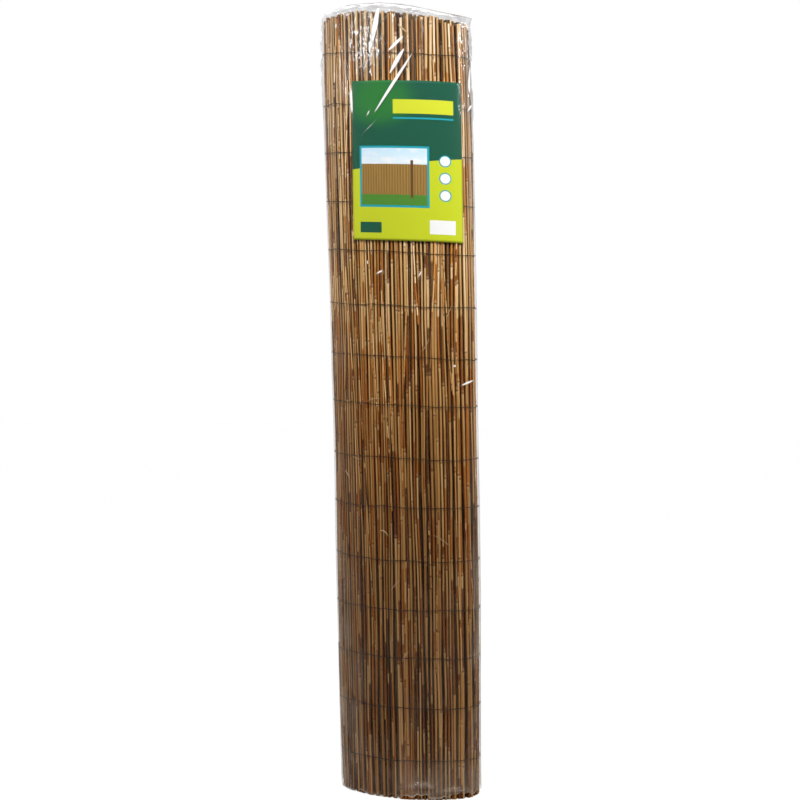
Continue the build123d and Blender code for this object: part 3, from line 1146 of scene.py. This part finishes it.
@dataclass
class HuskScraps:
    """The few loose husks and straws that lie on the mat, under the film."""

    winding: Winding
    view: PhotoView
    settling: Settling
    outset: float = 0.0002
    shown_turns: tuple[float, float] = (0.22, 0.72)
    oval_squares: tuple[float, float] = (0.02, 0.0056)
    thick: float = 0.0004
    steps: int = 14
    sides: int = 6
    scraps: Sequence[Scrap] = (
        Scrap((379, 531), (388, 536), 0.0010, 2.4), Scrap((433, 535), (449, 545), 0.0005, 0.6),
        Scrap((421, 352), (429, 339), 0.0006, -1.0), Scrap((391, 591), (400, 580), 0.0006, 0.8),
        Scrap((352, 455), (362, 459), 0.0007, -1.4), Scrap((366, 402), (381, 399), 0.0005, 1.6),
        Scrap((345, 470), (350, 480), 0.0011, 0.8), Scrap((402, 662), (409, 651), 0.0006, 0.7),
        Scrap((447, 318), (452, 306), 0.0006, 0.6), Scrap((370, 322), (374, 311), 0.0006, -0.6),
        Scrap((408, 33), (398, 24), 0.0014, 0.5))

    def surface(self) -> tuple[np.ndarray, np.ndarray]:
        """A net of places over the shown side of the mat, and their pixels in the view."""
        rows = []
        for turn in np.linspace(*self.shown_turns, 240):
            spot = self.winding.point(float(turn), self.outset)
            rows.extend((spot.x, spot.y, float(z)) for z in np.arange(0.02, 1.49, 0.002))
        places = np.array(rows)
        return places, self.view.pixels(self.settling.moved(places))

    def build(self, finish: bpy.types.Material) -> bpy.types.Object:
        """Lays the husks on the mat.

        Args:
            finish: The husks' material.

        Returns:
            The husks, as one piece.
        """
        places, pixels = self.surface()
        verts: list[Vector] = []
        faces: list[tuple[int, ...]] = []
        for scrap in self.scraps:
            line = self.trace(scrap, places, pixels)
            first = len(verts)
            for i, spot in enumerate(line):
                ahead = (line[min(i + 1, self.steps)] - line[max(i - 1, 0)]).normalized()
                out = Vector((spot.x / self.oval_squares[0], spot.y / self.oval_squares[1], 0.0)).normalized()
                side = ahead.cross(out).normalized()
                width = scrap.half * (0.35 + 0.65 * math.sin(math.pi * (i + 0.5) / (self.steps + 1)))
                for k in range(self.sides):
                    turn = math.tau * k / self.sides
                    rise = math.sin(turn) * self.thick + self.thick
                    verts.append(spot + side * math.cos(turn) * width + out * rise)
            for i in range(self.steps):
                low, high = first + i * self.sides, first + (i + 1) * self.sides
                for k in range(self.sides):
                    n = (k + 1) % self.sides
                    faces.append((low + k, low + n, high + n, high + k))
            faces.append(tuple(first + k for k in reversed(range(self.sides))))
            faces.append(tuple(first + self.steps * self.sides + k for k in range(self.sides)))
        mesh = bpy.data.meshes.new("husk_scraps")
        mesh.from_pydata(verts, [], faces)
        mesh.polygons.foreach_set("use_smooth", [True] * len(faces))
        mesh.materials.append(finish)
        outwards(mesh)
        return add_object("husk_scraps", mesh)

    def trace(self, scrap: Scrap, places: np.ndarray, pixels: np.ndarray) -> list[Vector]:
        """Points of a husk's line on the mat, from its ends and its bow in the view."""
        start, end = np.array(scrap.start), np.array(scrap.end)
        across = np.array((end[1] - start[1], start[0] - end[0])) / np.linalg.norm(end - start)
        line = []
        for i in range(self.steps + 1):
            share = i / self.steps
            mark = start + (end - start) * share + across * scrap.bow * math.sin(math.pi * share)
            near = np.argsort(((pixels - mark) ** 2).sum(axis=1))[:4]
            line.append(Vector(places[near].mean(axis=0)))
        return [(line[max(i - 1, 0)] + line[i] + line[min(i + 1, self.steps)]) / 3 for i in range(self.steps + 1)]


@dataclass(frozen=True)
class Zone:
    """A crumpled oval of the film, by its middle and radii in pixels of the view."""

    across: float
    down: float
    wide: float
    high: float
    amount: float

    def share(self, pixels: np.ndarray) -> np.ndarray:
        """How crumpled the film is at places in the view."""
        reach = ((pixels[:, 0] - self.across) / self.wide) ** 2 + ((pixels[:, 1] - self.down) / self.high) ** 2
        return self.amount * np.clip(1.6 * (1.0 - reach), 0.0, 1.0)


@dataclass(frozen=True)
class Pleat:
    """A raised pleat of the film, by its ends and half width in pixels of the view."""

    start: tuple[float, float]
    end: tuple[float, float]
    half: float
    height: float

    def rise(self, pixels: np.ndarray) -> np.ndarray:
        """How far the film stands up at places in the view."""
        start, end = np.array(self.start), np.array(self.end)
        along = end - start
        share = np.clip((pixels - start) @ along / (along @ along), 0.0, 1.0)
        reach = np.linalg.norm(pixels - start - share[:, None] * along, axis=1)
        swell = 0.55 + 0.45 * np.sin(np.pi * share)
        return self.height * swell * np.exp(-(reach / (self.half * swell)) ** 2)


@dataclass
class FilmSleeve:
    """The clear film sleeve, close round the roll and gathered into a seam at the top.

    The painted sheen on its two sides, which stands for the film's grazing reflection at the roll's edges in the view,
    starts at a pixel column of the view, which drifts with each row, and grows over a number of pixels. It is fixed on
    the film.
    """

    winding: Winding
    view: PhotoView
    settling: Settling
    columns: int = 290
    rim: float = 0.003
    shoulder: float = 1.502
    fine_from: float = 1.20
    bands: Sequence[tuple[float, int]] = (
        (0.07, 20), (0.775, 50), (0.86, 39), (0.985, 10), (1.06, 34), (1.20, 18), (1.502, 144))
    outset: float = 0.0031
    cap_rows: int = 10
    fin: float = 0.0035
    seal_allowance: float = 0.004
    # Painted sheen on the film's two sides: where it starts, its drift per row, how fast it grows, and how strong it
    # is by height.
    left_haze: Triple = (354.0, 0.030, 26.0)
    right_haze: Triple = (458.0, 0.014, 14.0)
    sheen_weight_right: float = 2.2
    side_sheen: Triple = (1.8, 1.8, 2.6)
    low_haze: float = 1.6
    rim_haze: float = 2.8
    hem_haze: float = 9.0
    cap_haze: float = 6.5
    cap_crumple: float = 0.22
    soft_scale: Triple = (11.0, 11.0, 6.0)
    gather_scale: Triple = (58.0, 58.0, 2.2)
    crease_scale: Triple = (44.0, 44.0, 24.0)
    small_scale: Triple = (120.0, 120.0, 64.0)
    lip_scale: Triple = (40.0, 40.0, 6.0)
    slack: float = 0.0003
    soft_rise: float = 0.0004
    gather_rise: float = 0.0006
    end_rise: float = 0.0005
    crumple_rise: Triple = (0.0010, 0.0030, 0.0012)
    lip_rise: float = 0.0024
    full_pleat: float = 0.002
    seam: Sequence[tuple[float, float]] = (
        (-0.150, 1.512), (-0.113, 1.5225), (-0.094, 1.527), (-0.062, 1.5275), (-0.030, 1.526), (0.010, 1.520),
        (0.038, 1.5135), (0.090, 1.498), (0.139, 1.484), (0.153, 1.481))
    # Besides raising the film, the crumple zones and the taller pleats carry the film's painted white glints.
    zones: Sequence[Zone] = (
        Zone(366, 44, 23, 44, 1.0), Zone(463, 46, 10, 38, 0.9), Zone(400, 42, 24, 34, 0.45),
        Zone(345, 75, 9, 40, 0.5), Zone(352, 95, 5, 32, 0.5), Zone(470, 105, 5, 20, 0.5),
        Zone(395, 12, 75, 12, 0.6), Zone(367, 46, 10, 30, 1.25), Zone(420, 788, 16, 4, 0.8),
        Zone(455, 794, 18, 4, 0.7), Zone(383, 273, 3, 3, 0.9), Zone(420, 275, 2, 6, 0.9), Zone(464, 287, 3, 3, 0.9))
    pleats: Sequence[Pleat] = (
        Pleat((404, 36), (388, 51), 1.9, 0.0017), Pleat((404, 49), (390, 73), 2.2, 0.0020),
        Pleat((412, 54), (375, 112), 1.6, 0.0020), Pleat((352, 83), (353, 119), 1.6, 0.0014),
        Pleat((379, 8), (373, 42), 2.6, 0.0022), Pleat((394, 14), (392, 26), 1.3, 0.0012),
        Pleat((371, 108), (366, 118), 1.1, 0.0012), Pleat((379, 117), (361, 136), 0.9, 0.0010),
        Pleat((470, 104), (466, 113), 1.4, 0.0013), Pleat((469, 62), (468, 98), 1.5, 0.0013),
        Pleat((422, 18), (424, 40), 1.2, 0.0010), Pleat((337, 22), (336, 30), 1.3, 0.0012),
        Pleat((460, 386), (474, 380), 1.3, 0.0016), Pleat((376, 274), (384, 270), 1.1, 0.0016),
        Pleat((367, 259), (369, 266), 1.0, 0.0014), Pleat((418, 278), (422, 270), 1.0, 0.0014),
        Pleat((462, 287), (467, 286), 1.2, 0.0017), Pleat((452, 366), (457, 366), 1.2, 0.0015),
        Pleat((373, 283), (374, 291), 0.9, 0.0012), Pleat((401, 281), (403, 284), 0.9, 0.0012),
        Pleat((340, 700), (352, 735), 2.0, 0.00078),
        Pleat((474, 452), (477, 500), 1.3, 0.0010), Pleat((478, 512), (477, 546), 1.0, 0.0010),
        Pleat((345, 652), (354, 688), 1.6, 0.00076), Pleat((346, 742), (358, 772), 2.2, 0.00076),
        Pleat((352, 690), (366, 722), 1.4, 0.0006), Pleat((372, 752), (366, 786), 1.6, 0.0007),
        Pleat((337, 455), (343, 492), 1.4, 0.0006), Pleat((474, 610), (476, 660), 1.2, 0.0007),
        Pleat((396, 768), (404, 786), 1.4, 0.0006), Pleat((452, 764), (446, 786), 1.4, 0.0006))

    def outline(self) -> np.ndarray:
        """The sleeve's plan: the convex line round the roll, left to right at the front and back again.

        Returns:
            Points, one to a row, the same number at the front as at the back.
        """
        spots = sorted((p.x * (1.0 - 0.008 * (p.x / 0.15) ** 6), p.y)
                       for p in self.winding.run(0.0, 1.0, self.outset, 720))
        chains = []
        for order in (spots, spots[::-1]):
            chain: list[tuple[float, float]] = []
            for x, y in order:
                while len(chain) > 1 and self.bends_in(chain[-2], chain[-1], (x, y)):
                    chain.pop()
                chain.append((x, y))
            chains.append(self.even(np.array(chain), self.columns // 2))
        return np.concatenate([chains[0][:-1], chains[1][:-1]])

    def flat_size(self) -> tuple[float, float]:
        """The sleeve laid flat in two layers: half its girth, and from its rim to the closing seam."""
        plan = self.outline()
        girth = np.linalg.norm(np.roll(plan, -1, axis=0) - plan, axis=1).sum()
        return float(girth) / 2 + self.seal_allowance, self.shoulder - self.rim + float(np.abs(plan[:, 1]).max())

    @staticmethod
    def bends_in(a: tuple[float, float], b: tuple[float, float], c: tuple[float, float]) -> bool:
        """True if the middle one of three points isn't on the outside."""
        return (b[0] - a[0]) * (c[1] - a[1]) - (b[1] - a[1]) * (c[0] - a[0]) <= 0.0

    @staticmethod
    def even(chain: np.ndarray, count: int) -> np.ndarray:
        """A line cut into equal lengths."""
        walked = np.concatenate([[0.0], np.cumsum(np.linalg.norm(np.diff(chain, axis=0), axis=1))])
        at = np.linspace(0.0, walked[-1], count + 1)
        return np.stack([np.interp(at, walked, chain[:, 0]), np.interp(at, walked, chain[:, 1])], axis=1)

    @staticmethod
    def clouds(points: np.ndarray, scale: tuple[float, float, float], shift: float) -> np.ndarray:
        """Noise from about -1 to 1 at points, stretched by a scale."""
        moved = points * np.array(scale) + shift
        return np.array([noise.noise(Vector(row)) for row in moved])

    def folds(self, points: np.ndarray, outward: np.ndarray) -> tuple[np.ndarray, np.ndarray]:
        """How far the film stands off its plan, and how crumpled and how pleated it is.

        Args:
            points: Places on the plain sleeve.
            outward: The outward direction at each place.

        Returns:
            Stand-off in metres, and how crumpled and how pleated the film is, from 0 to 1.
        """
        z = points[:, 2]
        pixels = self.view.pixels(self.settling.moved(points))
        shown = ((np.array(self.view.axes()[0]) - points) * outward).sum(axis=1) > 0.0
        top = np.clip((z - 1.30) / 0.16, 0.0, 1.0)
        low = np.clip((0.09 - z) / 0.08, 0.0, 1.0)
        soft = self.clouds(points, self.soft_scale, 3.1)
        gather = np.clip(1.0 - np.abs(self.clouds(points, self.gather_scale, 7.7)) * 2.0, 0.0, 1.0)
        crease, small = (np.clip(1.0 - np.abs(self.clouds(points, scale, shift)) * 2.4, -0.4, 1.0)
                         for scale, shift in ((self.crease_scale, 1.3), (self.small_scale, 5.9)))
        ends = np.abs(outward[:, 0]) ** 4
        crumple = np.where(shown, np.max([zone.share(pixels) for zone in self.zones], axis=0),
                           top * np.clip(0.4 + soft * 1.4, 0.0, 1.0))
        stand = self.slack + soft * self.soft_rise + gather ** 3 * self.gather_rise + ends * soft * self.end_rise
        plain, by_crease, by_small = self.crumple_rise
        stand += crumple * (plain + crease * by_crease + small * by_small)
        stand += low * np.clip(self.clouds(points, self.lip_scale, 2.2), -0.2, 1.0) * self.lip_rise
        raised = np.where(shown, np.max([mark.rise(pixels) for mark in self.pleats], axis=0), 0.0)
        return np.clip(stand + raised, -0.0002, None), np.stack([crumple, raised / self.full_pleat], axis=1)

    def ridge(self, x: float) -> float:
        """Height of the closing seam at a place along it."""
        return float(np.interp(x, [place[0] for place in self.seam], [place[1] for place in self.seam])) - self.fin

    @staticmethod
    def ear(share: float) -> float:
        """How far the seam runs out past the roll: a pointed corner on the right, hardly any on the left."""
        return (0.009 if share > 0 else 0.001) * share ** 15

    def build(self, finish: bpy.types.Material) -> bpy.types.Object:
        """Makes the sleeve.

        Args:
            finish: The film's material.

        Returns:
            The sleeve.
        """
        plan = self.outline()
        count = len(plan)
        ahead = np.roll(plan, -1, axis=0) - np.roll(plan, 1, axis=0)
        out = np.stack([ahead[:, 1], -ahead[:, 0]], axis=1)
        out /= np.linalg.norm(out, axis=1)[:, None]
        heights = [self.rim, self.rim + 0.0012, self.rim + 0.004]
        for top, rows in self.bands:
            heights.extend(np.linspace(heights[-1], top, rows + 1)[1:])
        points = np.concatenate([np.column_stack([plan, np.full(count, h)]) for h in heights])
        falls = np.array([self.winding.fall(x) for x in points[:, 0]])
        points[:, 2] -= falls * np.clip((points[:, 2] - self.fine_from) / (self.shoulder - self.fine_from), 0.0, 1.0)
        outward = np.tile(np.column_stack([out, np.zeros(count)]), (len(heights), 1))
        stand, crumple = self.folds(points, outward)
        foot = points[:count]
        jag = self.clouds(foot, (26.0, 26.0, 1.0), 4.4) * 0.008 + self.clouds(foot, (110.0, 110.0, 1.0), 2.6) * 0.005
        jag += 0.007 * np.clip((foot[:, 0] + 0.11) / 0.10, 0.0, 1.0)
        low = np.clip((0.055 - points[:, 2]) / 0.052, 0.0, 1.0)
        points[:, 2] += np.tile(np.clip(jag, -0.002, 0.018), len(heights)) * low
        points += outward * stand[:, None]

        reach = float(np.abs(plan[:, 0]).max())
        rings = [points[-count:]]
        half = count // 2
        mates = [(count - j) % count for j in range(count)]
        seam_x = [(plan[j, 0] + plan[mates[j], 0]) / 2 for j in range(count)]
        for row in range(1, self.cap_rows + 1):
            t = row / self.cap_rows
            ring = np.zeros((count, 3))
            for j in range(count):
                side = 0.0 if j in (0, half) else -0.0002 if j < half else 0.0002
                place = seam_x[j] + self.ear(seam_x[j] / reach)
                end = Vector((place, side, self.ridge(place)))
                start = Vector(rings[0][j])
                spot = start.lerp(end, t)
                spot.z = start.z + (end.z - start.z) * (1.0 - (1.0 - t) ** 1.7)
                spot.z += noise.noise(Vector((spot.x * 90.0, spot.y * 30.0, 2.0))) * 0.0018 * math.sin(math.pi * t)
                ring[j] = spot
            rings.append(ring)
        tip = rings[-1].copy()
        for j in range(count):
            k = min(j, mates[j])
            taper = min(1.0, k / 10, (half - k) / 10)
            sway = noise.noise(Vector((tip[k, 0] * 45.0, 1.0, 6.0))) * 0.003
            tip[j] += (0.0, sway * taper, self.fin * (0.25 + 0.75 * taper))
        rings.append(tip)
        return self.assemble(points, rings, crumple, count, half, mates, finish)

    def assemble(self, points: np.ndarray, rings: list[np.ndarray], crumple: np.ndarray, count: int, half: int,
                 mates: list[int], finish: bpy.types.Material) -> bpy.types.Object:
        """Joins the wall, the folded top and the closing seam into one mesh.

        Args:
            points: The wall, ring by ring.
            rings: The folded top, ring by ring, from the wall's last ring.
            crumple: How crumpled and how pleated the wall is at each point.
            count: Points in a ring.
            half: The column at the right-hand end of the seam.
            mates: The column at the back that meets each column at the front.
            finish: The film's material.

        Returns:
            The sleeve.
        """
        verts = points.tolist()
        index = [[r * count + j for j in range(count)] for r in range(len(points) // count)]
        for ring in rings[1:-1]:
            index.append([len(verts) + j for j in range(count)])
            verts.extend(ring.tolist())
        seam = [0] * count
        for j in range(half + 1):
            seam[j] = len(verts)
            seam[mates[j]] = len(verts)
            verts.append(rings[-1][j].tolist())
        index.append(seam)
        faces = []
        for low, high in zip(index[:-1], index[1:]):
            for j in range(count):
                k = (j + 1) % count
                corners = [low[j], low[k], high[k], high[j]]
                face = [c for i, c in enumerate(corners) if c != corners[i - 1]]
                if len(face) > 2:
                    faces.append(face)
        sealed = [0.0] * len(verts)
        for j in range(half + 1):
            streak = noise.noise(Vector((verts[seam[j]][0] * 30.0, 8.0, 1.0)))
            sealed[seam[j]] = min(1.0, max(0.0, streak * 2.2 - 0.1))
        mesh = bpy.data.meshes.new("film_wrap")
        mesh.from_pydata(verts, [], faces)
        mesh.polygons.foreach_set("use_smooth", [True] * len(faces))
        folded = np.zeros((len(verts), 2))
        folded[:len(crumple)] = crumple
        folded[len(crumple):] = (self.cap_crumple, 0.0)
        places = np.array(verts)
        pixels = self.view.pixels(self.settling.moved(places))
        (left, left_drift, left_fade), (right, right_drift, right_fade) = self.left_haze, self.right_haze
        # Painted sheen near the roll's left and right edges in the view, where the film is seen at a grazing angle.
        painted_edge_sheen = np.clip((pixels[:, 0] - left - left_drift * pixels[:, 1]) / -left_fade, 0.0, 1.0)
        painted_edge_sheen += np.clip((pixels[:, 0] - right - right_drift * pixels[:, 1]) / right_fade, 0.0, 1.0) * self.sheen_weight_right
        low = np.clip((0.60 - places[:, 2]) / 0.5, 0.0, 1.0)
        rim = np.clip((0.100 - places[:, 2]) / 0.070, 0.0, 1.0)
        high = np.clip((places[:, 2] - 1.0) / 0.3, 0.0, 1.0)
        middle, upper, lower = self.side_sheen
        haze = painted_edge_sheen * (middle + upper * high + lower * low) + low * self.low_haze + rim * self.rim_haze
        haze[:count * 2] += self.hem_haze
        haze[len(crumple):] = self.cap_haze
        for name, values in (("film_crumple", folded[:, 0]), ("film_pleat", folded[:, 1]), ("film_haze", haze),
                             ("film_seal", np.array(sealed))):
            layer = mesh.attributes.new(name, "FLOAT", "POINT")
            layer.data.foreach_set("value", values.astype(np.float32))
        mesh.materials.append(finish)
        return add_object("film_wrap", mesh)


@dataclass(frozen=True)
class Lamp:
    """A rectangular soft light, by its power in watts, its place, the height it points at and its size."""

    name: str
    power: float
    place: Triple
    aim: float
    size: tuple[float, float]

    def hang(self) -> None:
        """Adds the light, pointed at the roll's axis."""
        data = bpy.data.lights.new(self.name, "AREA")
        data.shape = "RECTANGLE"
        data.size, data.size_y = self.size
        data.energy = self.power
        lamp = add_object(self.name, data)
        lamp.location = self.place
        lamp.rotation_euler = (Vector((0.0, 0.0, self.aim)) - Vector(self.place)).to_track_quat("-Z", "Y").to_euler()


@dataclass
class Studio:
    """A white floor and background, a high soft key light, two side lights and one behind."""

    ambient: float = 0.07
    floor_half: float = 9.0
    floor_grey: float = 0.30
    floor_glow: float = 1.13
    glow_share: float = 0.87
    lamps: Sequence[Lamp] = (
        Lamp("key", 52.0, (0.25, -1.35, 2.75), 1.1, (1.0, 0.7)),
        Lamp("left", 16.0, (-1.75, -1.15, 1.85), 1.2, (0.45, 0.5)),
        Lamp("right", 36.0, (2.1, -0.25, 1.85), 1.2, (0.5, 0.5)),
        Lamp("rear", 42.0, (-0.7, 2.3, 2.2), 0.9, (1.2, 0.9)))

    def seen(self, pad: Pad) -> Value:
        """One for rays that the camera sees straight, in a reflection or through glass."""
        path = pad.node("ShaderNodeLightPath")
        straight, glossy, through = (Value(pad, path.outputs[f"Is {kind} Ray"])
                                     for kind in ("Camera", "Glossy", "Transmission"))
        return straight.upper(glossy).upper(through)

    def build(self) -> bpy.types.Object:
        """Sets the world, the lamps and the floor.

        Returns:
            The floor.
        """
        scene = bpy.context.scene
        scene.view_settings.view_transform = "Standard"
        world = bpy.data.worlds.new("studio")
        scene.world = world
        world.use_nodes = True
        world.node_tree.nodes.clear()
        pad = Pad(world.node_tree)
        strength = self.seen(pad) * (1.0 - self.ambient) + self.ambient
        light = pad.get("ShaderNodeBackground", None, {"Color": grey(1.0), "Strength": strength})
        pad.node("ShaderNodeOutputWorld", None, {"Surface": light})

        for lamp in self.lamps:
            lamp.hang()

        mesh = bpy.data.meshes.new("floor")
        reach = self.floor_half
        corners = [(-reach, -reach, 0), (reach, -reach, 0), (reach, reach, 0), (-reach, reach, 0)]
        mesh.from_pydata(corners, [], [(0, 1, 2, 3)])
        floor = add_object("floor", mesh)
        material, pad = new_material("white_floor")
        paint = pad.surface({"Base Color": grey(self.floor_grey), "Roughness": 0.9})
        bright = pad.get("ShaderNodeEmission", None, {"Color": grey(1.0), "Strength": self.floor_glow})
        # Ambient occlusion takes the floor's glow away between and right at the reeds, as a painted contact shadow.
        clear_of_contact_shade = pad.get("ShaderNodeAmbientOcclusion", {"samples": 8}, {"Distance": 0.015}, "AO").rise(0.22, 0.48)
        show(pad, pad.layered(self.seen(pad) * clear_of_contact_shade * self.glow_share, paint, bright))
        mesh.materials.append(material)
        return floor


def dress(piece: bpy.types.Object, slot: str, *nodes: str) -> None:
    """Settles a piece, lets it ride on the roll and hides the CAD nodes that it stands for.

    Args:
        piece: The piece.
        slot: The piece's material slot; not used.
        nodes: The CAD nodes that it stands for.
    """
    Settling().settle(piece.data)
    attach(piece, "root")
    if nodes:
        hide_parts(*nodes)
    LOG.info("%s: %d faces", piece.name, len(piece.data.polygons))


def main() -> None:
    """Builds the roll, its wires, card and film, and the studio round them."""
    logging.basicConfig(level=logging.INFO)
    view = PhotoView()
    view.place_camera()
    winding = Winding()
    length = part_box("reed_roll")[1][2]

    reeds = ReedMat(winding, length).build(ReedFinish().material())
    dress(reeds[Layer.OUTER], "reed", "reed_roll")
    for layer in (Layer.SECOND, Layer.INNER, Layer.STRAY):
        dress(reeds[layer], "reed")

    rows = sorted(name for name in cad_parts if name.startswith("binding_wire"))
    wires = BindingWires(winding, rows=len(rows), length=length)
    dress(wires.build(WireFinish().material()), "wire", *rows)

    card = InsertCard(winding)
    sheet = card.build(CardFinish())
    dress(sheet, "card", "insert_card")
    dress(HuskScraps(winding, view, Settling()).build(HuskFinish().material()), "reed")

    sleeve = FilmSleeve(winding, view, Settling())
    film = sleeve.build(FilmFinish().material())
    dress(film, "film", "film_sleeve")
    sleeve.flat_size()

    Studio().build()


if __name__ == "__main__":
    main()
